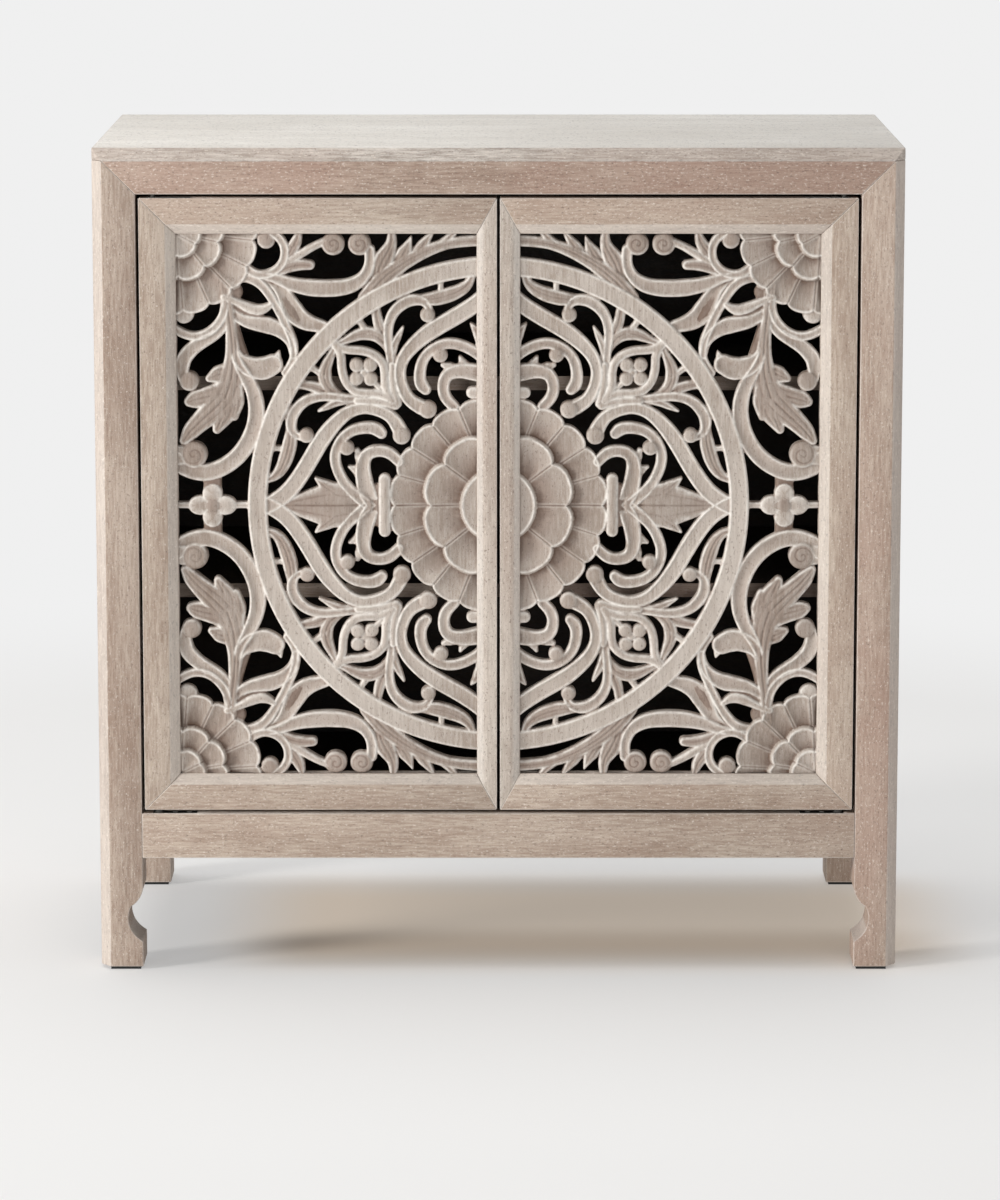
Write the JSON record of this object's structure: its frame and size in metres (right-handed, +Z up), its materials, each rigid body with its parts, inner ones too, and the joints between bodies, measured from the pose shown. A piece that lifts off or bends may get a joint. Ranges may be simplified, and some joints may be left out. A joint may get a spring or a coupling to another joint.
{
  "type": "carved cabinet",
  "caption": "Free-standing cabinet of limed wood on scrolled feet, with pierced carved doors that form a medallion and shelves inside.",
  "frame": {"origin": "middle of the cabinet's footprint, on the floor under its feet", "axes": "+Z up, doors face -Y, +X to the right of someone facing the doors"},
  "size_m": [0.8, 0.4, 0.828],
  "materials": {
    "limed_wood": "limed and brushed, matt",
    "carved_wood": "carved, limed, matt",
    "inside_wood": "dark stain, matt",
    "dowel_wood": "raw beech",
    "steel": "zinc plated",
    "black_plastic": "moulded",
    "brown_plastic": "moulded",
    "magnet": "ferrite block"
  },
  "bodies": {
    "carcass": {"back_panel": "inside_wood", "back_panel_screws": "steel", "bottom_panel": "inside_wood", "catch_screws": "steel", "cleat_screws": "steel", "foot_glides": "black_plastic", "frame_dowels": "dowel_wood", "front_apron_rail": "limed_wood", "front_left_post": "limed_wood", "front_right_post": "limed_wood", "front_top_rail": "limed_wood", "left_bottom_cleat": "inside_wood", "left_catch_magnet": "magnet", "left_lower_pivot_plate": "steel", "left_magnet_catch": "brown_plastic", "left_side_panel": "limed_wood", "left_upper_pivot_plate": "steel", "lower_shelf": "inside_wood", "pivot_plate_screws": "steel", "rear_bottom_rail": "limed_wood", "rear_left_post": "limed_wood", "rear_right_post": "limed_wood", "rear_top_rail": "limed_wood", "right_bottom_cleat": "inside_wood", "right_catch_magnet": "magnet", "right_lower_pivot_plate": "steel", "right_magnet_catch": "brown_plastic", "right_side_panel": "limed_wood", "right_upper_pivot_plate": "steel", "shelf_pins": "steel", "top_fixing_screws": "steel", "top_panel": "limed_wood", "upper_shelf": "inside_wood"},
    "left_door": {"left_door_bottom_rail": "limed_wood", "left_door_carved_panel": "carved_wood", "left_door_hinge_stile": "limed_wood", "left_door_leaf_screws": "steel", "left_door_lower_leaf": "steel", "left_door_meeting_stile": "limed_wood", "left_door_strike_plate": "steel", "left_door_strike_screws": "steel", "left_door_top_rail": "limed_wood", "left_door_upper_leaf": "steel"},
    "right_door": {"right_door_bottom_rail": "limed_wood", "right_door_carved_panel": "carved_wood", "right_door_hinge_stile": "limed_wood", "right_door_leaf_screws": "steel", "right_door_lower_leaf": "steel", "right_door_meeting_stile": "limed_wood", "right_door_strike_plate": "steel", "right_door_strike_screws": "steel", "right_door_top_rail": "limed_wood", "right_door_upper_leaf": "steel"}
  },
  "joints": [
    {"name": "left_door_hinge", "type": "hinge", "parent": "carcass", "child": "left_door", "pos_m": [-0.34, -0.193, 0.472], "axis": [0, 0, -1], "range_deg": [0, 105]},
    {"name": "right_door_hinge", "type": "hinge", "parent": "carcass", "child": "right_door", "pos_m": [0.34, -0.193, 0.472], "axis": [0, 0, 1], "range_deg": [0, 105]}
  ]
}
